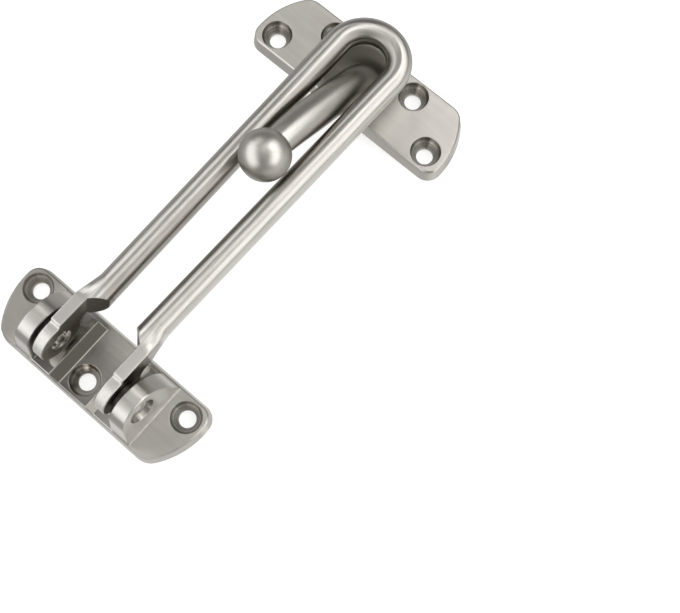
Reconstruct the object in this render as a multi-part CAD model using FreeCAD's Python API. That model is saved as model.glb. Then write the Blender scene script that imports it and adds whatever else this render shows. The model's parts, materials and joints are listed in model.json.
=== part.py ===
# Swing bar door guard, lying on its back. X runs along the plates, Y from hinge to bow, Z out of the
# mounting plane. The origin is the middle of the base plate's back face. All sizes are millimetres.
import FreeCAD, Part
import math
import os
from FreeCAD import Vector

X_AXIS = Vector(1, 0, 0)
Y_AXIS = Vector(0, 1, 0)
Z_AXIS = Vector(0, 0, 1)

# Outline shared by the base plate and the strike plate
base_length = 70.0
strike_length = 72.4
plate_width = 23.3
end_arc_radius = 25.4
end_arc_offset = 5.85
row_corner_radius = 4.6
far_corner_radius = 6.0
side_lean = 0.7
edge_bevel = 0.45

# Plate thicknesses and screw holes; insets run from the plate's edges to the hole centres
base_thickness = 4.0
strike_thickness = 4.8
screw_hole_diameter = 5.0
screw_head_diameter = 9.3
screw_land = 0.9
screw_row_inset = 6.1
base_end_inset = 6.4
base_centre_inset = 6.6
strike_end_inset = 7.1
strike_rear_inset = 6.0
strike_rear_spacing = 30.5

# Raised pads under the lugs
pad_rise = 1.0
pad_slope_run = 3.4
pad_lead = 1.05
pad_crease_radius = 1.5
pad_end_radius = 0.3
pad_front_setback = 1.05
pad_rear_setback = 1.9

# Swing bar; distances run along the bar from the pivot axis
rod_diameter = 7.7
slot_width_at_lugs = 10.0
slot_width_at_bow = 12.3
bow_centre_distance = 116.85
bar_axis_rise = 4.6
rest_fall_deg = 1.75
lug_gap = 19.2
lug_thickness = 3.65
lug_step_height = 1.2
lug_step_distance = 2.75
lug_step_run = 1.5
lug_heel_radius = 3.0
lug_edge_radius = 0.35
lug_blend_lead = 1.55
lug_blend_end = 20.05
notch_near_distance = 11.35
notch_far_distance = 15.45
notch_tip_width = 0.25
notch_slant = 0.33

# Pivot pins, washers and ears; the ear's back path is given from the pivot axis
pivot_y = -1.05
pin_diameter = 5.0
pin_head_diameter = 7.7
pin_head_height = 1.2
pin_seat_depth = 4.0
peen_diameter = 7.0
peen_height = 1.2
peen_notch_diameter = 1.9
washer_diameter = 8.4
washer_thickness = 1.65
ear_rise = 5.8
ear_top_radius = 7.7
ear_foot_thickness = 6.75
ear_top_thickness = 4.85
ear_back_path = [(4.95, 4.2), (9.55, -2.7)]
ear_back_foot_slope = 0.25
ear_edge_radius = 0.4
ear_foot_radius = 0.5

# Strike plate place and ball arm; the arm's path gives distance from the tenon, height and radius
strike_setback = 0.75
tenon_offset = 2.45
tenon_diameter = 7.0
ball_diameter = 15.0
ball_distance = 39.7
arm_neck_radius = 4.1
arm_path = [
    (32.6, 22.8, 4.4),
    (24.6, 19.8, 4.8),
    (16.6, 16.1, 5.0),
    (8.6, 12.0, 5.1),
    (2.6, 7.9, 5.4),
    (-1.9, 3.0, 5.8),
]

# Clearances
running_gap = 0.05
lug_side_gap = 0.1
lug_floor_gap = 0.45
washer_bore_gap = 0.1
pin_recess_gap = 0.2
ball_leg_gap = 0.9
lug_blend_step = 0.02

# How far joined or cut shapes reach into each other, and a length beyond the whole object
overlap = 1.0
beyond = 200.0

# Sizes that follow from the ones above
half_width = plate_width / 2
top_half_width = half_width - side_lean - edge_bevel
screw_row_y = half_width - screw_row_inset
rod_radius = rod_diameter / 2
pin_radius = pin_diameter / 2
leg_top_rise = bar_axis_rise + rod_radius
leg_underside_rise = bar_axis_rise - rod_radius
lug_radius = leg_top_rise - lug_step_height
lug_heel_rise = leg_underside_rise - lug_heel_radius
lug_heel_distance = math.sqrt((lug_radius + lug_heel_radius) ** 2 - lug_heel_rise ** 2)
lug_inner_x = lug_gap / 2
lug_outer_x = lug_inner_x + lug_thickness
pad_height = base_thickness + pad_rise
pivot_height = pad_height + lug_floor_gap + leg_top_rise
bar_axis_z = pivot_height + bar_axis_rise
washer_start_x = lug_outer_x + lug_side_gap
ear_inner_x = washer_start_x + washer_thickness
ear_foot_x = ear_inner_x + ear_foot_thickness
ear_top_x = ear_inner_x + ear_top_thickness
ear_top_height = pivot_height + ear_rise
ear_lean = (ear_foot_x - ear_top_x) / (ear_top_height - base_thickness)
pin_seat_x = ear_inner_x + pin_seat_depth
blend_start_y = pivot_y + lug_heel_distance + lug_blend_lead
blend_end_y = pivot_y + lug_blend_end
bow_centre_y = pivot_y + bow_centre_distance
bow_radius = (slot_width_at_bow + rod_diameter) / 2
leg_spread = (slot_width_at_bow - slot_width_at_lugs) / 2
leg_angle = math.atan(leg_spread / (bow_centre_y - blend_end_y))
strike_centre_y = bow_centre_y - strike_setback
tenon_y = strike_centre_y - tenon_offset


def mirrored(shape):
    """The same shape on the other side of the middle plane X = 0."""
    return shape.mirror(Vector(0, 0, 0), X_AXIS)


def both_sides(shape):
    return [shape, mirrored(shape)]


def joined(first, others):
    return first.fuse(others).removeSplitter()


def arc_about(centre, start, end):
    """Shorter arc about a centre between two points at the same distance from it."""
    out = ((start - centre) + (end - centre)).normalize()
    middle = centre + out * (start - centre).Length
    return Part.Arc(start, middle, end).toShape()


def outline(length, inset, z):
    """Plate outline at height z, moved inwards by inset, with its screw row on the +Y side."""
    arc_radius = end_arc_radius - inset
    arc_centre = Vector(length / 2 - end_arc_radius, end_arc_offset, z)

    def corner(edge_y, radius):
        """Tangent arc between the straight edge at edge_y and the end arc: its ends and its centre."""
        inward = -1 if edge_y > 0 else 1
        centre_y = edge_y + inward * radius
        reach = arc_radius - radius
        centre_x = arc_centre.x + math.sqrt(reach ** 2 - (centre_y - arc_centre.y) ** 2)
        centre = Vector(centre_x, centre_y, z)
        on_edge = Vector(centre_x, edge_y, z)
        outward = (centre - arc_centre).normalize()
        on_arc = centre + outward * radius
        return on_edge, centre, on_arc

    def flipped(point):
        return Vector(-point.x, point.y, point.z)

    row_edge, row_centre, row_arc = corner(half_width - inset, row_corner_radius - inset)
    far_edge, far_centre, far_arc = corner(inset - half_width, far_corner_radius - inset)
    right = [
        arc_about(row_centre, row_edge, row_arc),
        arc_about(arc_centre, row_arc, far_arc),
        arc_about(far_centre, far_arc, far_edge),
    ]
    left = [
        arc_about(flipped(far_centre), flipped(far_edge), flipped(far_arc)),
        arc_about(flipped(arc_centre), flipped(far_arc), flipped(row_arc)),
        arc_about(flipped(row_centre), flipped(row_arc), flipped(row_edge)),
    ]
    far_line = Part.makeLine(far_edge, flipped(far_edge))
    row_line = Part.makeLine(flipped(row_edge), row_edge)
    return Part.Wire(right + [far_line] + left + [row_line])


def plate_blank(length, thickness):
    """Plate with leaning sides and a bevelled top edge."""
    sections = [
        outline(length, 0.0, 0.0),
        outline(length, side_lean, thickness - edge_bevel),
        outline(length, side_lean + edge_bevel, thickness),
    ]
    return Part.makeLoft(sections, True, True)


def screw_hole(x, y, thickness):
    """Countersunk hole, widest at the plate's top face."""
    hole_radius = screw_hole_diameter / 2
    head_radius = screw_head_diameter / 2
    depth = thickness - screw_land
    spread = (head_radius - hole_radius) / depth
    shaft = Part.makeCylinder(hole_radius, thickness + 2 * overlap, Vector(x, y, -overlap))
    cone_start = Vector(x, y, screw_land)
    cone = Part.makeCone(hole_radius, head_radius + spread * overlap, depth + overlap, cone_start)
    return shaft.fuse(cone)


def prism(points, sweep):
    """Solid swept along a vector from the closed polygon through the points."""
    return Part.Face(Part.makePolygon(points + [points[0]])).extrude(sweep)


def ear():
    """Upright ear on the +X side: straight front slope, round top, hollow back slope, leaning outer face."""
    front_foot = Vector(ear_inner_x, -top_half_width, base_thickness)
    rear_foot = Vector(ear_inner_x, top_half_width, base_thickness)
    sunk = Z_AXIS * -base_thickness / 2
    centre = Vector(ear_inner_x, pivot_y, ear_top_height - ear_top_radius)
    top = centre + Z_AXIS * ear_top_radius
    to_centre = centre - front_foot
    reach = to_centre.Length
    line_angle = math.atan2(to_centre.z, to_centre.y) + math.asin(ear_top_radius / reach)
    run = math.sqrt(reach ** 2 - ear_top_radius ** 2)
    tangent = front_foot + Vector(0, math.cos(line_angle), math.sin(line_angle)) * run
    pivot = Vector(ear_inner_x, pivot_y, pivot_height)
    back_points = [pivot + Vector(0, y, z) for y, z in ear_back_path]
    foot_tangent = Y_AXIS * ear_back_foot_slope - Z_AXIS
    back = Part.BSplineCurve()
    back.interpolate([top] + back_points + [rear_foot], InitialTangent=Y_AXIS, FinalTangent=foot_tangent)
    profile = Part.Wire([
        Part.makeLine(front_foot, tangent),
        arc_about(centre, tangent, top),
        back.toShape(),
        Part.makeLine(rear_foot, rear_foot + sunk),
        Part.makeLine(rear_foot + sunk, front_foot + sunk),
        Part.makeLine(front_foot + sunk, front_foot),
    ])
    block = Part.Face(profile).extrude(X_AXIS * ear_foot_x)
    top_z = ear_top_height + overlap
    side = prism([
        Vector(ear_inner_x, -plate_width, 0),
        Vector(ear_foot_x + ear_lean * base_thickness, -plate_width, 0),
        Vector(ear_top_x - ear_lean * overlap, -plate_width, top_z),
        Vector(ear_inner_x, -plate_width, top_z),
    ], Y_AXIS * 2 * plate_width)
    blade = block.common(side)
    boxes = [(edge, edge.BoundBox) for edge in blade.Edges]
    rims = [edge for edge, box in boxes if box.ZLength > ear_edge_radius and box.ZMax > pivot_height]
    return blade.makeFillet(ear_edge_radius, rims)


def ear_foot():
    """Hollow fillet between the ear's outer face and the plate on the +X side."""
    face_angle = math.atan(ear_lean)
    reach = ear_foot_radius * math.tan(math.radians(45) - face_angle / 2)
    corner = Vector(ear_foot_x, -top_half_width, base_thickness)
    on_plate = corner + X_AXIS * reach
    on_ear = corner + Vector(-math.sin(face_angle), 0, math.cos(face_angle)) * reach
    centre = on_plate + Z_AXIS * ear_foot_radius
    root = corner - Vector(1, 0, 1) * ear_foot_radius
    wire = Part.Wire([
        arc_about(centre, on_plate, on_ear),
        Part.makeLine(on_ear, root),
        Part.makeLine(root, on_plate),
    ])
    return Part.Face(wire).extrude(Y_AXIS * 2 * top_half_width)


def pad():
    """Raised pad between the ear and the centre floor on the +X side, sloping down to the floor."""
    top_x = lug_inner_x - pad_lead
    foot_x = top_x - pad_slope_run
    front = -half_width + pad_front_setback
    rear = half_width - pad_rear_setback
    slope = math.atan(pad_rise / pad_slope_run)
    reach = pad_crease_radius * math.tan(slope / 2)
    up_slope = Vector(math.cos(slope), 0, math.sin(slope)) * reach
    foot = Vector(foot_x, front, base_thickness)
    top = Vector(top_x, front, pad_height)
    foot_start = foot - X_AXIS * reach
    foot_end = foot + up_slope
    top_start = top - up_slope
    top_end = top + X_AXIS * reach
    end_top = Vector(ear_inner_x + overlap, front, pad_height)
    end_bottom = Vector(end_top.x, front, base_thickness / 2)
    foot_bottom = Vector(foot_start.x, front, base_thickness / 2)
    wire = Part.Wire([
        arc_about(foot_start + Z_AXIS * pad_crease_radius, foot_start, foot_end),
        Part.makeLine(foot_end, top_start),
        arc_about(top_end - Z_AXIS * pad_crease_radius, top_start, top_end),
        Part.makeLine(top_end, end_top),
        Part.makeLine(end_top, end_bottom),
        Part.makeLine(end_bottom, foot_bottom),
        Part.makeLine(foot_bottom, foot_start),
    ])
    block = Part.Face(wire).extrude(Y_AXIS * (rear - front))
    thin = pad_end_radius / 10
    boxes = [(edge, edge.BoundBox) for edge in block.Edges]
    rims = [edge for edge, box in boxes if box.YLength < thin and box.ZMin > base_thickness - thin]
    return block.makeFillet(pad_end_radius, rims)


def base_plate():
    row = base_length / 2 - base_end_inset
    raised = both_sides(pad()) + both_sides(ear()) + both_sides(ear_foot())
    body = joined(plate_blank(base_length, base_thickness), raised)
    pin_hole = Part.makeCylinder(pin_radius, beyond, Vector(0, pivot_y, pivot_height), X_AXIS)
    recess_start = Vector(pin_seat_x, pivot_y, pivot_height)
    recess_radius = pin_head_diameter / 2 + pin_recess_gap
    recess = Part.makeCylinder(recess_radius, beyond, recess_start, X_AXIS)
    holes = [
        screw_hole(row, screw_row_y, base_thickness),
        screw_hole(-row, screw_row_y, base_thickness),
        screw_hole(0, base_centre_inset - half_width, base_thickness),
    ]
    return body.cut(holes + both_sides(pin_hole) + both_sides(recess)).removeSplitter()


def dome(radius, height, base, direction):
    """Spherical cap standing on a flat circle."""
    sphere_radius = (radius ** 2 + height ** 2) / (2 * height)
    centre = base - direction * (sphere_radius - height)
    ball = Part.makeSphere(sphere_radius, centre)
    return ball.common(Part.makeCylinder(radius + overlap, height + overlap, base, direction))


def pivot_pin():
    """Riveted pin on the +X side: domed head in the ear's recess, notched peened end inside the lug."""
    peen_x = lug_inner_x - running_gap
    axis_point = Vector(peen_x, pivot_y, pivot_height)
    shaft = Part.makeCylinder(pin_radius, pin_seat_x - peen_x, axis_point, X_AXIS)
    head_start = Vector(pin_seat_x, pivot_y, pivot_height)
    head = dome(pin_head_diameter / 2, pin_head_height, head_start, X_AXIS)
    peen = dome(peen_diameter / 2, peen_height, axis_point, X_AXIS * -1)
    notches = []
    for turn in range(4):
        angle = math.radians(45 + 90 * turn)
        reach = peen_diameter / 2
        offset = Vector(0, math.cos(angle), math.sin(angle)) * reach
        start = axis_point + offset - X_AXIS * (peen_height + overlap)
        notches.append(Part.makeCylinder(peen_notch_diameter / 2, peen_height + overlap, start, X_AXIS))
    return joined(shaft, [head, peen.cut(notches)])


def spacer_washer():
    """Washer against the ear on the +X side."""
    start = Vector(washer_start_x, pivot_y, pivot_height)
    ring = Part.makeCylinder(washer_diameter / 2, washer_thickness, start, X_AXIS)
    return ring.cut(Part.makeCylinder(pin_radius + washer_bore_gap, washer_thickness, start, X_AXIS))


def lug_outline():
    """Lug seen along the pin, on the inner face: stepped top, round end and hollow heel under the leg."""
    def at(distance, rise):
        return Vector(lug_inner_x, pivot_y + distance, pivot_height + rise)

    step_turn = 2 * math.atan(lug_step_height / lug_step_run)
    step_radius = lug_step_run / (2 * math.sin(step_turn))
    step_end = lug_step_distance - lug_step_run
    step_top = at(lug_step_distance, leg_top_rise)
    step_foot = at(step_end, lug_radius)
    step_half = (step_top + step_foot) / 2
    heel_centre = at(lug_heel_distance, lug_heel_rise)
    heel_on_leg = heel_centre + Z_AXIS * lug_heel_radius
    heel_on_disc = at(0, 0) + (heel_centre - at(0, 0)).normalize() * lug_radius
    disc_top = at(0, lug_radius)
    leg_top = at(lug_heel_distance + lug_blend_lead, leg_top_rise)
    leg_underside = Vector(leg_top.x, leg_top.y, heel_on_leg.z)
    return Part.Wire([
        Part.makeLine(leg_top, step_top),
        arc_about(step_top - Z_AXIS * step_radius, step_top, step_half),
        arc_about(step_foot + Z_AXIS * step_radius, step_half, step_foot),
        Part.makeLine(step_foot, disc_top),
        Part.Arc(disc_top, at(-lug_radius, 0), heel_on_disc).toShape(),
        arc_about(heel_centre, heel_on_disc, heel_on_leg),
        Part.makeLine(heel_on_leg, leg_underside),
        Part.makeLine(leg_underside, leg_top),
    ])


def lug_blend():
    """Blend from the lug's flat section to the outer half of the round leg."""
    top = bar_axis_z + rod_radius
    bottom = bar_axis_z - rod_radius
    end_radius = rod_radius - lug_blend_step
    end_axis = leg_point(blend_end_y)
    inner_degrees = math.degrees(math.acos((lug_inner_x - end_axis.x) / end_radius))
    corner_degrees = math.degrees(lug_edge_radius / end_radius)

    def flat_point(x, z):
        return Vector(x, blend_start_y, z)

    def rim_point(degrees):
        angle = math.radians(degrees)
        return end_axis + Vector(math.cos(angle), 0, math.sin(angle)) * end_radius

    inset_x = lug_outer_x - lug_edge_radius
    upper = flat_point(inset_x, top - lug_edge_radius)
    lower = flat_point(inset_x, bottom + lug_edge_radius)
    flat_points = [
        flat_point(lug_inner_x, top),
        upper + Z_AXIS * lug_edge_radius,
        upper + X_AXIS * lug_edge_radius,
        lower + X_AXIS * lug_edge_radius,
        lower - Z_AXIS * lug_edge_radius,
        flat_point(lug_inner_x, bottom),
    ]
    start = Part.Wire([
        Part.makeLine(flat_points[0], flat_points[1]),
        arc_about(upper, flat_points[1], flat_points[2]),
        Part.makeLine(flat_points[2], flat_points[3]),
        arc_about(lower, flat_points[3], flat_points[4]),
        Part.makeLine(flat_points[4], flat_points[5]),
        Part.makeLine(flat_points[5], flat_points[0]),
    ])
    shoulder = inner_degrees / 3
    stops = [inner_degrees, shoulder + corner_degrees / 2, shoulder - corner_degrees / 2]
    stops += [-stop for stop in reversed(stops)]
    rim = [arc_about(end_axis, rim_point(a), rim_point(b)) for a, b in zip(stops, stops[1:])]
    end = Part.Wire(rim + [Part.makeLine(rim_point(stops[-1]), rim_point(stops[0]))])
    return Part.makeLoft([start, end], True, True)


def lug():
    """Flat lug on the +X side with softened edges and its blend into the leg."""
    flat = Part.Face(lug_outline()).extrude(X_AXIS * lug_thickness)
    thin = lug_edge_radius / 10
    rims = [edge for edge in flat.Edges if edge.BoundBox.XLength < thin and edge.BoundBox.YLength > thin]
    return joined(flat.makeFillet(lug_edge_radius, rims), [lug_blend()])


def leg_point(y):
    """Point of the +X leg's axis; the legs spread slightly towards the bow."""
    bow_end_x = bow_radius * math.cos(leg_angle)
    bow_end_y = bow_centre_y - bow_radius * math.sin(leg_angle)
    return Vector(bow_end_x - (bow_end_y - y) * math.tan(leg_angle), y, bar_axis_z)


def leg():
    """Round leg on the +X side; its inner half stops at a slanting notch."""
    start = leg_point(0)
    end = leg_point(bow_centre_y - bow_radius * math.sin(leg_angle))
    rod = Part.makeCylinder(rod_radius, (end - start).Length, start, end - start)
    outer_start = Vector(lug_inner_x, -overlap, bar_axis_z - rod_diameter)
    outer_half = Part.makeBox(rod_diameter, blend_end_y + overlap, 2 * rod_diameter, outer_start)
    tip_x = slot_width_at_lugs / 2 + notch_tip_width
    near_y = pivot_y + notch_near_distance
    far_y = pivot_y + notch_far_distance
    notch_rise = Vector(0, notch_slant, 1) * rod_diameter
    notch = prism([
        Vector(lug_inner_x, -beyond, bar_axis_z) - notch_rise,
        Vector(lug_inner_x, near_y, bar_axis_z) - notch_rise,
        Vector(tip_x, far_y, bar_axis_z) - notch_rise,
        Vector(0, far_y, bar_axis_z) - notch_rise,
        Vector(0, -beyond, bar_axis_z) - notch_rise,
    ], notch_rise * 2)
    return rod.cut([outer_half, notch])


def swing_bar():
    turn = math.degrees(leg_angle)
    section_centre = Vector(bow_radius, bow_centre_y, bar_axis_z)
    section = Part.Face(Part.Wire(Part.makeCircle(rod_radius, section_centre, Y_AXIS)))
    section.rotate(Vector(0, bow_centre_y, 0), Z_AXIS, -turn)
    bow = section.revolve(Vector(0, bow_centre_y, 0), Z_AXIS, 180 + 2 * turn)
    body = joined(bow, both_sides(leg()) + both_sides(lug()))
    bore_start = Vector(-beyond / 2, pivot_y, pivot_height)
    bore = Part.makeCylinder(pin_radius + running_gap, beyond, bore_start, X_AXIS)
    bar = body.cut(bore)
    bar.rotate(Vector(0, pivot_y, pivot_height), X_AXIS, -rest_fall_deg)
    return bar


def strike_plate():
    """Plate turned half round, so that its wide row of holes faces the hinge."""
    row = strike_length / 2 - strike_end_inset
    rear = strike_rear_spacing / 2
    rear_y = strike_rear_inset - half_width
    holes = [
        screw_hole(row, screw_row_y, strike_thickness),
        screw_hole(-row, screw_row_y, strike_thickness),
        screw_hole(rear, rear_y, strike_thickness),
        screw_hole(-rear, rear_y, strike_thickness),
    ]
    tenon_start = Vector(0, tenon_offset, -overlap)
    tenon_hole = Part.makeCylinder(tenon_diameter / 2, beyond, tenon_start)
    plate = plate_blank(strike_length, strike_thickness).cut(holes + [tenon_hole])
    plate.rotate(Vector(0, 0, 0), Z_AXIS, 180)
    plate.translate(Vector(0, strike_centre_y, 0))
    return plate


def ball_centre():
    """Ball's middle, above the resting bar's legs by the named gap."""
    y = tenon_y - ball_distance
    fall = math.radians(rest_fall_deg)
    axis_z = pivot_height + bar_axis_rise / math.cos(fall) - (y - pivot_y) * math.tan(fall)
    reach = ball_diameter / 2 + rod_radius + ball_leg_gap
    rise = math.sqrt(reach ** 2 - leg_point(y).x ** 2)
    return Vector(0, y, axis_z + rise / math.cos(fall))


def ball_arm():
    """Leaning arm with a ball at its free end and a tenon through the strike plate."""
    centres = [ball_centre()] + [Vector(0, tenon_y - distance, z) for distance, z, radius in arm_path]
    radii = [arm_neck_radius] + [radius for distance, z, radius in arm_path]
    path = Part.BSplineCurve()
    path.interpolate(centres)
    rings = []
    for centre, radius in zip(centres, radii):
        ring = Part.Circle(centre, path.tangent(path.parameter(centre))[0], radius)
        ring.XAxis = X_AXIS
        rings.append(Part.Wire(ring.toShape()))
    arm = Part.makeLoft(rings, True)
    below = Part.makeBox(beyond, beyond, beyond, Vector(-beyond / 2, 0, strike_thickness - beyond))
    ball = Part.makeSphere(ball_diameter / 2, centres[0])
    tenon = Part.makeCylinder(tenon_diameter / 2, strike_thickness + overlap, Vector(0, tenon_y, 0))
    return joined(arm.cut(below), [ball, tenon])


def export(name, shape):
    solids = shape.Solids
    print(name, len(solids), "solid", shape.isValid(), round(shape.Volume, 2))
    solids[0].exportStep("parts/" + name + ".step")


os.makedirs("parts", exist_ok=True)
export("base_plate", base_plate())
export("swing_bar", swing_bar())
export("pivot_pin_right", pivot_pin())
export("pivot_pin_left", mirrored(pivot_pin()))
export("spacer_washer_right", spacer_washer())
export("spacer_washer_left", mirrored(spacer_washer()))
export("strike_plate", strike_plate())
export("ball_arm", ball_arm())
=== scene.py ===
import json
import math
import bpy
from mathutils import Matrix, Vector

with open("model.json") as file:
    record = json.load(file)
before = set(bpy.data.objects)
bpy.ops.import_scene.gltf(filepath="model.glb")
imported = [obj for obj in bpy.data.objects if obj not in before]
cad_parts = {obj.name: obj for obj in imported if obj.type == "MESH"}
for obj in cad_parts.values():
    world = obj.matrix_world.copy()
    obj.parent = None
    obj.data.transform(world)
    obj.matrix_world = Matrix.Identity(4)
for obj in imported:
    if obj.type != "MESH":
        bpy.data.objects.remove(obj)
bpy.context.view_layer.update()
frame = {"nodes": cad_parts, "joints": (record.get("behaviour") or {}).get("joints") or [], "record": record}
scene = bpy.context.scene
scene.view_settings.view_transform = "Standard"
scene.view_settings.look = "Medium High Contrast"

MM = 0.001

# Camera of the photograph, whose image is 680 pixels wide
IMAGE_WIDTH = 680.0
FOCAL_PIXELS = 1072.87
SENSOR_WIDTH_MM = 36.0
CLIP_START = 10 * MM
CAMERA_PLACE = Vector((0.08799, 0.00093, 0.30052))
AZIMUTH = math.radians(-49.931)
ELEVATION = math.radians(76.005)
ROLL = math.radians(0.47)

# Soft boxes: the point they face and their colours
LIGHT_TARGET = Vector((0.0, 0.06, 0.01))
COOL_WHITE = (0.98, 0.99, 1.0)
NEUTRAL_WHITE = (1.0, 0.99, 0.98)
WARM_WHITE = (1.0, 0.99, 0.97)

# Surroundings: greys by their share of the way from straight down to straight up, brighter towards +X
ROOM_STOPS = [(0.03, 0.80), (0.17, 0.42), (0.43, 0.42), (0.57, 0.18)]
ROOM_TINT = (1.0, 0.995, 0.985)
BRIGHT_SIDE = (0.35, 0.8)
BRIGHT_SIDE_GAIN = 2.0

# Floor
FLOOR_HALF = 1.5
FLOOR_LEVEL = -0.3 * MM
FLOOR_GREY = 0.6
FLOOR_ROUGHNESS = 0.9
FLOOR_GLOW = 0.56

# Metals: a tone of 0 is the dark colour and a tone of 1 the pale one
NICKEL = ((0.28, 0.26, 0.235), (0.78, 0.76, 0.725))
ARM_NICKEL = ((0.28, 0.26, 0.235), (0.76, 0.74, 0.705))
PIN_STEEL = ((0.52, 0.50, 0.47), (0.74, 0.72, 0.69))
WASHER_PAINTED_SHADE = ((0.06, 0.055, 0.05), (0.12, 0.11, 0.10))
NOISE_SPAN = (0.3, 0.7)
CLOUD_SCALE = 90.0
EDGE_RADIUS = 0.2 * MM
EDGE_SAMPLES = 6
EDGE_LIKENESS = (0.98, 0.75)
EDGE_TONE = 0.2

# Brushing: each streak as its length and width
FINE_SHARE = 0.6
BROAD_SHARE = 0.4
PLATE_FINE = (14 * MM, 0.16 * MM)
PLATE_BROAD = (40 * MM, 1.2 * MM)
BAR_FINE = (12 * MM, 0.18 * MM)
BAR_BROAD = (150 * MM, 0.9 * MM)
ARM_FINE = (10 * MM, 0.22 * MM)

# Both plates and their countersinks
PLATE_TONE_SPREAD = 0.08
PLATE_CLOUD_TONE = 0.3
PLATE_SMOOTHER = 0.02
PLATE_ROUGHER = 0.04
PLATE_STRETCH = 0.9
PLATE_BUMP = 0.006 * MM
BACK_FACING = -0.5
HEAD_RADIUS = 4.65 * MM
HEAD_BORDER = 0.1 * MM
RING_SCALE = 1500.0
RING_HEIGHTS = (-1.5, 2.5)
# Ring tones run darker than the plate: turned rings, with painted shade in the countersinks.
RING_AND_PAINTED_SHADE_TONES = (-0.1, 0.75)
CONE_ROUGHNESS = 0.26

# Base plate: polished in the pocket between the ears, with painted shade on inward faces, on the left wing
# and in the pocket
BASE_TONE = 0.56
BASE_ROUGHNESS = 0.42
INWARD_FACING = (0.12, 0.25)
INWARD_PAINTED_SHADE = -0.6
LEFT_WING = (-20 * MM, -26 * MM)
LEFT_WING_PAINTED_SHADE = -0.3
EAR_FOOT = (6 * MM, 7 * MM)
EAR_ROUGHNESS = (0.30, 0.38)
POCKET_SIDE = (15.5 * MM, 15 * MM)
WALL_FACING = (0.92, 0.82)
POCKET_ROUGHNESS = (0.07, 0.14)
POCKET_PAINTED_SHADE = -0.15

# Strike plate: darker under the bow of the bar
STRIKE_TONE = 0.44
STRIKE_ROUGHNESS = 0.30
SHADE_CENTRE = (-3 * MM, 115.5 * MM, 0.0)
SHADE_RIM = (12.5 * MM, 9 * MM)
SHADE_TONE = -0.65

# Swing bar: painted shade on the inner side and on the lug sides, which are also smoother, and painted light
# on the lug tops
BOW_CENTRE_Y = 115.8 * MM
BOW_RADIUS = 10.0 * MM
BAR_TONES = (0.5, 0.85)
BAR_CLOUD_TONE = 0.2
BAR_ROUGHNESS = (0.30, 0.38)
BAR_BROAD_HEIGHT = 9.0
BAR_STRETCH = 0.95
BAR_BUMP = 0.008 * MM
INNER_FACING = (0.28, 0.56)
INNER_PAINTED_SHADE = -0.55
LUG_END = (17 * MM, 15 * MM)
LUG_TOP_FACING = (0.9, 0.98)
LUG_TOP_PAINTED_LIGHT = 0.3
LUG_SIDE_FACING = (0.85, 0.97)
LUG_SIDE_PAINTED_SHADE = -0.7
LUG_SIDE_ROUGHNESS = 0.20

# Ball arm: painted shade towards the foot, under the bow, and on steep sides
ARM_FALL = 0.5
ARM_EDGE_RADIUS = 0.25 * MM
ARM_CLOUD_SCALE = 110.0
ARM_CLOUD_TONE = 0.3
ARM_GRAIN_SCALE = 3500.0
ARM_GRAIN_SHARE = 0.5
ARM_TONES = (0.45, 0.65)
ARM_ROUGHNESS = 0.32
ARM_ROUGHNESS_RISE = 0.12
ARM_BUMP = 0.004 * MM
ARM_END_FACING = -0.9
ARM_LOW = (19 * MM, 12 * MM)
ARM_LOW_PAINTED_SHADE = -0.65
STEEP_FACING = (0.75, 0.3)
STEEP_PAINTED_SHADE = -0.5

# Pins and washers; the washers' near-black colour is painted shade in the gap between each lug and its ear
PIN_EDGE_RADIUS = 0.15 * MM
PIN_RING_SCALE = 3800.0
PIN_RING_SHARE = 0.4
PIN_CLOUD_SCALE = 400.0
PIN_CLOUD_SHARE = 0.6
PIN_ROUGHNESS = 0.20
WASHER_ROUGHNESS = 0.35
PIN_ROUGHNESS_RISE = 0.12
PIN_BUMP = 0.006 * MM


# Camera
def turned(right, up, back, place):
    """Matrix whose columns are the three axes and the place."""
    rows = [(right[i], up[i], back[i], place[i]) for i in range(3)]
    return Matrix(rows + [(0, 0, 0, 1)])


camera_back = Vector((
    math.cos(ELEVATION) * math.cos(AZIMUTH),
    math.cos(ELEVATION) * math.sin(AZIMUTH),
    math.sin(ELEVATION),
))
level_right = Vector((0, 0, 1)).cross(camera_back).normalized()
level_up = camera_back.cross(level_right)
camera_right = math.cos(ROLL) * level_right + math.sin(ROLL) * level_up
camera_up = math.cos(ROLL) * level_up - math.sin(ROLL) * level_right

camera_data = bpy.data.cameras.new("photo_camera")
camera_data.sensor_fit = "HORIZONTAL"
camera_data.sensor_width = SENSOR_WIDTH_MM
camera_data.lens = FOCAL_PIXELS / IMAGE_WIDTH * SENSOR_WIDTH_MM
camera_data.clip_start = CLIP_START
camera = bpy.data.objects.new("photo_camera", camera_data)
camera.matrix_world = turned(camera_right, camera_up, camera_back, CAMERA_PLACE)
scene.collection.objects.link(camera)
scene.camera = camera


# Light
def soft_box(name, direction, distance, width, height, radiance, colour):
    """Area light that faces the object; direction is (right, up, back) of the photograph's camera."""
    right, up, back = direction
    away = (camera_right * right + camera_up * up + camera_back * back).normalized()
    across = camera_up.cross(away).normalized()
    light = bpy.data.lights.new(name, "AREA")
    light.shape = "RECTANGLE"
    light.size = width
    light.size_y = height
    light.energy = radiance * math.pi * width * height
    light.color = colour
    box = bpy.data.objects.new(name, light)
    box.matrix_world = turned(across, away.cross(across), away, LIGHT_TARGET + away * distance)
    scene.collection.objects.link(box)


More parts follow.
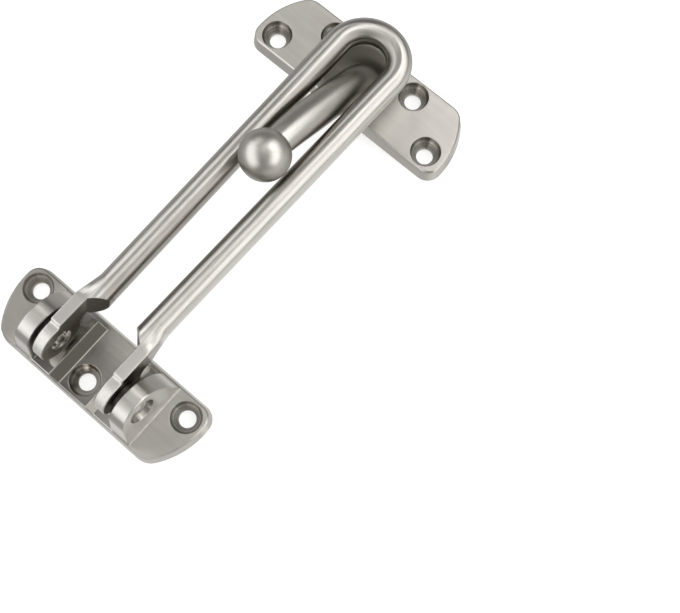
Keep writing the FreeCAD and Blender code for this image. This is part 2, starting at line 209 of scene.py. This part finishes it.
soft_box(
    "left_box", direction=(-0.83, -0.04, 0.56), distance=0.8,
    width=0.72, height=1.7, radiance=1.30, colour=COOL_WHITE)
soft_box(
    "right_box", direction=(0.775, 0.08, 0.63), distance=0.8,
    width=0.60, height=1.7, radiance=1.32, colour=NEUTRAL_WHITE)
soft_box(
    "upper_right_box", direction=(0.44, 0.48, 0.76), distance=0.8,
    width=0.30, height=0.30, radiance=1.75, colour=WARM_WHITE)
soft_box(
    "upper_left_box", direction=(-0.30, 0.82, 0.48), distance=0.8,
    width=0.30, height=0.30, radiance=0.95, colour=WARM_WHITE)
soft_box(
    "top_box", direction=(0.01, 0.41, 0.91), distance=0.9,
    width=0.45, height=0.52, radiance=0.62, colour=WARM_WHITE)
soft_box(
    "front_box", direction=(-0.05, -0.05, 1.0), distance=0.9,
    width=0.70, height=0.50, radiance=0.24, colour=WARM_WHITE)

# Surroundings: a dim room over a pale table top
world = bpy.data.worlds.new("studio")
world.use_nodes = True
room = world.node_tree
background = room.nodes["Background"]
direction = room.nodes.new("ShaderNodeTexCoord")
parts = room.nodes.new("ShaderNodeSeparateXYZ")
way_up = room.nodes.new("ShaderNodeMapRange")
way_up.inputs["From Min"].default_value = -1.0
ramp = room.nodes.new("ShaderNodeValToRGB")
stops = ramp.color_ramp.elements
while len(stops) < len(ROOM_STOPS):
    stops.new(0.5)
for stop, (share, grey) in zip(stops, ROOM_STOPS):
    stop.position = share
    stop.color = (*[grey * tint for tint in ROOM_TINT], 1)
way_across = room.nodes.new("ShaderNodeMapRange")
way_across.inputs["From Min"].default_value = BRIGHT_SIDE[0]
way_across.inputs["From Max"].default_value = BRIGHT_SIDE[1]
way_across.inputs["To Min"].default_value = 1.0
way_across.inputs["To Max"].default_value = BRIGHT_SIDE_GAIN
room.links.new(direction.outputs["Generated"], parts.inputs[0])
room.links.new(parts.outputs["Z"], way_up.inputs["Value"])
room.links.new(way_up.outputs[0], ramp.inputs[0])
room.links.new(ramp.outputs[0], background.inputs["Color"])
room.links.new(parts.outputs["X"], way_across.inputs["Value"])
room.links.new(way_across.outputs[0], background.inputs["Strength"])
scene.world = world


# Materials
class Metal:
    """Principled metal whose colour, roughness and bump come from nodes in the piece's own frame."""

    def __init__(self, name):
        self.material = bpy.data.materials.new(name)
        self.material.use_nodes = True
        self.tree = self.material.node_tree
        self.shader = self.tree.nodes["Principled BSDF"]
        self.shader.inputs["Metallic"].default_value = 1.0
        coordinates = self.node("ShaderNodeTexCoord")
        facing = coordinates.outputs["Normal"]
        self.place = coordinates.outputs["Object"]
        self.x, self.y, self.z = self.node("ShaderNodeSeparateXYZ", self.place).outputs
        self.facing_x, self.facing_y, self.facing_z = self.node("ShaderNodeSeparateXYZ", facing).outputs

    def feed(self, socket, value):
        """Links another node's output to the socket, or sets a constant there."""
        if isinstance(value, bpy.types.NodeSocket):
            self.tree.links.new(value, socket)
        else:
            socket.default_value = value

    def node(self, kind, *values, **settings):
        """New node; the values go to its inputs in order."""
        made = self.tree.nodes.new(kind)
        for key, value in settings.items():
            setattr(made, key, value)
        for socket, value in zip(made.inputs, values):
            self.feed(socket, value)
        return made

    def calc(self, operation, *values):
        return self.node("ShaderNodeMath", *values, operation=operation).outputs[0]

    def add_share(self, value, share, total):
        """Total plus a share of the value."""
        return self.calc("MULTIPLY_ADD", value, share, total)

    def vector(self, x, y, z):
        return self.node("ShaderNodeCombineXYZ", x, y, z).outputs[0]

    def vector_calc(self, operation, result, *values):
        return self.node("ShaderNodeVectorMath", *values, operation=operation).outputs[result]

    def spread(self, value, span, target=(0.0, 1.0)):
        """Value carried from a span to a target span, held at its ends."""
        return self.node("ShaderNodeMapRange", value, *span, *target).outputs[0]

    def blend(self, share, first, second):
        """First number where the share is 0, second where it is 1."""
        made = self.node("ShaderNodeMix", share)
        self.feed(made.inputs[2], first)
        self.feed(made.inputs[3], second)
        return made.outputs[0]

    def blend_vectors(self, share, first, second):
        """First vector where the share is 0, second where it is 1."""
        made = self.node("ShaderNodeMix", share, data_type="VECTOR")
        self.feed(made.inputs[4], first)
        self.feed(made.inputs[5], second)
        return made.outputs[1]

    def noise(self, place, scale, detail=2.0):
        made = self.node("ShaderNodeTexNoise", place)
        made.inputs["Scale"].default_value = scale
        made.inputs["Detail"].default_value = detail
        return made.outputs["Fac"]

    def streaks(self, along, across, height, size):
        """Noise drawn out along the brushing, with streaks of this length and width."""
        length, width = size
        place = self.vector(
            self.calc("DIVIDE", along, length),
            self.calc("DIVIDE", across, width),
            self.calc("DIVIDE", height, width),
        )
        return self.noise(place, 1.0, detail=3.0)

    def rounded_normal(self, radius):
        """Normal rounded over the edges."""
        return self.node("ShaderNodeBevel", radius, samples=EDGE_SAMPLES).outputs[0]

    def near_edge(self, rounded):
        """How near an edge is, from 0 to 1, by how far the rounded normal leans."""
        true_normal = self.node("ShaderNodeNewGeometry").outputs["Normal"]
        likeness = self.vector_calc("DOT_PRODUCT", "Value", rounded, true_normal)
        return self.spread(likeness, EDGE_LIKENESS)

    def stretch_gloss(self, amount, direction):
        """Highlights drawn out along a direction given in the piece's own frame."""
        self.shader.inputs["Anisotropic"].default_value = amount
        turned_direction = self.node(
            "ShaderNodeVectorTransform", direction,
            vector_type="VECTOR", convert_from="OBJECT", convert_to="WORLD")
        self.tree.links.new(turned_direction.outputs[0], self.shader.inputs["Tangent"])

    def finish(self, colours, tone, roughness, height, depth, normal):
        """Links the tone between two colours, the roughness, and the bump of a height with this depth."""
        dark, pale = colours
        colour = self.node("ShaderNodeMix", tone, data_type="RGBA")
        colour.inputs[6].default_value = (*dark, 1)
        colour.inputs[7].default_value = (*pale, 1)
        self.tree.links.new(colour.outputs[2], self.shader.inputs["Base Color"])
        self.tree.links.new(roughness, self.shader.inputs["Roughness"])
        bump = self.node("ShaderNodeBump")
        bump.inputs["Strength"].default_value = 1.0
        bump.inputs["Distance"].default_value = depth
        self.tree.links.new(height, bump.inputs["Height"])
        self.tree.links.new(normal, bump.inputs["Normal"])
        self.tree.links.new(bump.outputs[0], self.shader.inputs["Normal"])
        return self.material


mounts = {mount["name"]: mount for mount in frame["record"]["mounts"]}


def hole_centres(*names):
    """Centres of the named mounts' screw holes, in metres."""
    centres = []
    for name in names:
        mount = mounts[name]
        half = mount["dims"].get("spacing_x_mm", 0.0) * MM / 2
        x, y = mount["pos_m"][:2]
        sides = (-half, half) if half else (0.0,)
        centres += [(x + side, y, 0.0) for side in sides]
    return centres


def cone_gloss(metal, holes, flat_place, front):
    """Distance to the nearest hole's axis, and gloss that runs outward in the countersinks, else along X."""
    nearest = None
    gloss = metal.vector(1.0, 0.0, 0.0)
    for centre in holes:
        outward = metal.vector_calc("SUBTRACT", "Vector", flat_place, centre)
        distance = metal.vector_calc("LENGTH", "Value", outward)
        nearest = distance if nearest is None else metal.calc("MINIMUM", nearest, distance)
        inside = metal.calc("MULTIPLY", front, metal.calc("LESS_THAN", distance, HEAD_RADIUS))
        gloss = metal.blend_vectors(inside, gloss, outward)
    return nearest, gloss


def base_details(metal, tone, roughness, brushing, cloud, front):
    """Tone and roughness of the base plate: roughness for the polished pocket and ears, and painted shade in
    the pocket, on inward faces and on the left wing.
    """
    outward_sign = metal.calc("SIGN", metal.x)
    inward = metal.calc("MULTIPLY", metal.facing_x, metal.calc("MULTIPLY", outward_sign, -1.0))
    # Painted shade on the faces turned towards the middle, between the ears.
    tone = metal.calc("ADD", tone, metal.spread(inward, INWARD_FACING, (0.0, INWARD_PAINTED_SHADE)))
    # Painted shade over the left wing.
    tone = metal.calc("ADD", tone, metal.spread(metal.x, LEFT_WING, (0.0, LEFT_WING_PAINTED_SHADE)))
    on_ear = metal.spread(metal.z, EAR_FOOT)
    roughness = metal.blend(on_ear, roughness, metal.spread(brushing, NOISE_SPAN, EAR_ROUGHNESS))
    between_ears = metal.spread(metal.calc("ABSOLUTE", metal.x), POCKET_SIDE)
    off_wall = metal.spread(metal.calc("ABSOLUTE", metal.facing_y), WALL_FACING, (0.0, front))
    in_pocket = metal.calc("MULTIPLY", between_ears, metal.calc("SUBTRACT", 1.0, on_ear))
    in_pocket = metal.calc("MULTIPLY", in_pocket, off_wall)
    roughness = metal.blend(in_pocket, roughness, metal.spread(cloud, NOISE_SPAN, POCKET_ROUGHNESS))
    # Painted shade in the pocket between the ears, on top of its real polish.
    tone = metal.add_share(in_pocket, POCKET_PAINTED_SHADE, tone)
    return tone, roughness


def strike_shade(metal, tone, flat_place, front):
    """Tone of the strike plate, darker under the bow."""
    distance = metal.vector_calc("DISTANCE", "Value", flat_place, SHADE_CENTRE)
    shaded = metal.calc("MULTIPLY", front, metal.spread(distance, SHADE_RIM))
    return metal.add_share(shaded, SHADE_TONE, tone)


def plate_nickel(name, holes, middle_tone, middle_roughness, is_base):
    """Satin plate brushed along X, with turned rings and painted shade in the countersinks."""
    metal = Metal(name)
    normal = metal.rounded_normal(EDGE_RADIUS)
    fine = metal.streaks(metal.x, metal.y, metal.z, PLATE_FINE)
    broad = metal.streaks(metal.x, metal.y, metal.z, PLATE_BROAD)
    brushing = metal.add_share(fine, FINE_SHARE, metal.calc("MULTIPLY", broad, BROAD_SHARE))
    cloud = metal.noise(metal.place, CLOUD_SCALE)
    flat_place = metal.vector(metal.x, metal.y, 0.0)
    front = metal.calc("GREATER_THAN", metal.facing_z, BACK_FACING)
    nearest, gloss = cone_gloss(metal, holes, flat_place, front)
    in_cone = metal.spread(nearest, (HEAD_RADIUS, HEAD_RADIUS - HEAD_BORDER), (0.0, front))
    rings = metal.noise(metal.vector(nearest, 0.0, 0.0), RING_SCALE, detail=1.0)
    rings = metal.spread(rings, NOISE_SPAN, RING_HEIGHTS)
    height = metal.blend(in_cone, brushing, rings)
    tones = (middle_tone - PLATE_TONE_SPREAD, middle_tone + PLATE_TONE_SPREAD)
    tone = metal.add_share(cloud, PLATE_CLOUD_TONE, metal.spread(brushing, NOISE_SPAN, tones))
    tone = metal.add_share(metal.near_edge(normal), EDGE_TONE, tone)
    roughnesses = (middle_roughness - PLATE_SMOOTHER, middle_roughness + PLATE_ROUGHER)
    roughness = metal.spread(brushing, NOISE_SPAN, roughnesses)
    roughness = metal.blend(in_cone, roughness, CONE_ROUGHNESS)
    if is_base:
        tone, roughness = base_details(metal, tone, roughness, brushing, cloud, front)
    else:
        tone = strike_shade(metal, tone, flat_place, front)
    # Countersinks: turned rings, darker overall than the plate as painted shade.
    tone = metal.blend(in_cone, tone, metal.spread(rings, RING_HEIGHTS, RING_AND_PAINTED_SHADE_TONES))
    metal.stretch_gloss(PLATE_STRETCH, gloss)
    return metal.finish(NICKEL, tone, roughness, height, PLATE_BUMP, normal)


def bar_nickel(name):
    """Satin rod brushed along the legs and round the bow, with smoother sides on the lugs; painted shade on
    the inner side and the lug sides, painted light on the lug tops.
    """
    metal = Metal(name)
    normal = metal.rounded_normal(EDGE_RADIUS)
    past_bow = metal.calc("MAXIMUM", metal.calc("SUBTRACT", metal.y, BOW_CENTRE_Y), 0.0)
    side = metal.calc("ABSOLUTE", metal.x)
    side_squared = metal.calc("POWER", side, 2.0)
    across = metal.calc("SQRT", metal.calc("ADD", side_squared, metal.calc("POWER", past_bow, 2.0)))
    round_bow = metal.calc("MULTIPLY", metal.calc("ARCTAN2", past_bow, side), BOW_RADIUS)
    along = metal.calc("ADD", metal.calc("MINIMUM", metal.y, BOW_CENTRE_Y), round_bow)
    fine = metal.streaks(along, across, metal.z, BAR_FINE)
    broad = metal.streaks(along, across, metal.z, BAR_BROAD)
    brushing = metal.add_share(fine, FINE_SHARE, metal.calc("MULTIPLY", broad, BROAD_SHARE))
    height = metal.add_share(broad, BAR_BROAD_HEIGHT, fine)
    cloud = metal.noise(metal.place, CLOUD_SCALE)
    tone = metal.add_share(cloud, BAR_CLOUD_TONE, metal.spread(brushing, NOISE_SPAN, BAR_TONES))
    tone = metal.add_share(metal.near_edge(normal), EDGE_TONE, tone)
    on_lug = metal.spread(metal.y, LUG_END)
    lug_top = metal.calc("MULTIPLY", metal.spread(metal.facing_z, LUG_TOP_FACING), on_lug)
    facing_side = metal.calc("ABSOLUTE", metal.facing_x)
    lug_side = metal.calc("MULTIPLY", metal.spread(facing_side, LUG_SIDE_FACING), on_lug)
    outward_y = metal.calc("MULTIPLY", metal.facing_y, past_bow)
    outward = metal.add_share(metal.facing_x, metal.x, outward_y)
    inward = metal.calc("DIVIDE", outward, metal.calc("MULTIPLY", across, -1.0))
    # Painted light on the lug tops.
    tone = metal.add_share(lug_top, LUG_TOP_PAINTED_LIGHT, tone)
    # Painted shade on the inner side, between the legs and inside the bow.
    tone = metal.calc("ADD", tone, metal.spread(inward, INNER_FACING, (0.0, INNER_PAINTED_SHADE)))
    # Painted shade on the lug sides, in the gaps by the ears.
    tone = metal.add_share(lug_side, LUG_SIDE_PAINTED_SHADE, tone)
    roughness = metal.spread(brushing, NOISE_SPAN, BAR_ROUGHNESS)
    roughness = metal.blend(lug_side, roughness, LUG_SIDE_ROUGHNESS)
    metal.stretch_gloss(BAR_STRETCH, metal.vector(metal.calc("MULTIPLY", past_bow, -1.0), metal.x, 0.0))
    return metal.finish(NICKEL, tone, roughness, height, BAR_BUMP, normal)


def arm_nickel(name):
    """Satin forging with faint lengthwise brushing, and painted shade towards the foot and on steep sides."""
    metal = Metal(name)
    normal = metal.rounded_normal(ARM_EDGE_RADIUS)
    level = metal.add_share(metal.y, ARM_FALL, metal.z)
    fine = metal.streaks(metal.y, metal.x, level, ARM_FINE)
    cloud = metal.noise(metal.place, ARM_CLOUD_SCALE)
    grain = metal.noise(metal.place, ARM_GRAIN_SCALE)
    height = metal.add_share(fine, 1.0 - ARM_GRAIN_SHARE, metal.calc("MULTIPLY", grain, ARM_GRAIN_SHARE))
    tone = metal.add_share(cloud, ARM_CLOUD_TONE, metal.spread(height, NOISE_SPAN, ARM_TONES))
    # Painted shade on the low part of the arm, under the bow, except on its end face.
    above_end = metal.calc("GREATER_THAN", metal.facing_z, ARM_END_FACING)
    low = metal.calc("MULTIPLY", above_end, metal.spread(metal.z, ARM_LOW))
    tone = metal.add_share(low, ARM_LOW_PAINTED_SHADE, tone)
    # Painted shade on the steep sides.
    tone = metal.calc("ADD", tone, metal.spread(metal.facing_z, STEEP_FACING, (0.0, STEEP_PAINTED_SHADE)))
    roughness = metal.calc("MULTIPLY_ADD", height, ARM_ROUGHNESS_RISE, ARM_ROUGHNESS)
    return metal.finish(ARM_NICKEL, tone, roughness, height, ARM_BUMP, normal)


def turned_steel(name, colours, smoothest):
    """Steel turned in rings about the pivot's axis."""
    metal = Metal(name)
    normal = metal.rounded_normal(PIN_EDGE_RADIUS)
    pivot_y, pivot_z = frame["joints"][0]["pos_m"][1:]
    flat_place = metal.vector(0.0, metal.y, metal.z)
    distance = metal.vector_calc("DISTANCE", "Value", flat_place, (0.0, pivot_y, pivot_z))
    rings = metal.noise(metal.vector(distance, 0.0, 0.0), PIN_RING_SCALE)
    cloud = metal.noise(metal.place, PIN_CLOUD_SCALE)
    tone = metal.add_share(cloud, PIN_CLOUD_SHARE, metal.calc("MULTIPLY", rings, PIN_RING_SHARE))
    roughness = metal.calc("MULTIPLY_ADD", rings, PIN_ROUGHNESS_RISE, smoothest)
    return metal.finish(colours, tone, roughness, rings, PIN_BUMP, normal)


base_holes = hole_centres("base_screws", "base_centre_screw")
strike_holes = hole_centres("strike_front_screws", "strike_rear_screws")
materials = {
    "base_plate": plate_nickel("base_nickel", base_holes, BASE_TONE, BASE_ROUGHNESS, is_base=True),
    "strike_plate": plate_nickel("strike_nickel", strike_holes, STRIKE_TONE, STRIKE_ROUGHNESS, is_base=False),
    "swing_bar": bar_nickel("bar_nickel"),
    "ball_arm": arm_nickel("arm_nickel"),
}
pin = turned_steel("pin_steel", PIN_STEEL, PIN_ROUGHNESS)
# Near-black washers: painted shade in the gaps between lugs and ears.
washer = turned_steel("washer_steel", WASHER_PAINTED_SHADE, WASHER_ROUGHNESS)
for side in ("left", "right"):
    materials["pivot_pin_" + side] = pin
    materials["spacer_washer_" + side] = washer
for node, piece in frame["nodes"].items():
    piece.data.materials.clear()
    piece.data.materials.append(materials[node])

# Floor, which the metal doesn't mirror: the surroundings' lower half takes its place there
corners = [(-1, -1), (1, -1), (1, 1), (-1, 1)]
floor_mesh = bpy.data.meshes.new("floor")
floor_mesh.from_pydata(
    [(x * FLOOR_HALF, y * FLOOR_HALF, FLOOR_LEVEL) for x, y in corners], [], [(0, 1, 2, 3)])
floor = bpy.data.objects.new("floor", floor_mesh)
scene.collection.objects.link(floor)
pale = bpy.data.materials.new("floor_pale")
pale.use_nodes = True
pale_shader = pale.node_tree.nodes["Principled BSDF"]
pale_shader.inputs["Base Color"].default_value = (FLOOR_GREY, FLOOR_GREY, FLOOR_GREY, 1)
pale_shader.inputs["Roughness"].default_value = FLOOR_ROUGHNESS
pale_shader.inputs["Specular IOR Level"].default_value = 0.0
pale_shader.inputs["Emission Color"].default_value = (1, 1, 1, 1)
pale_shader.inputs["Emission Strength"].default_value = FLOOR_GLOW
floor_mesh.materials.append(pale)
floor.visible_glossy = False
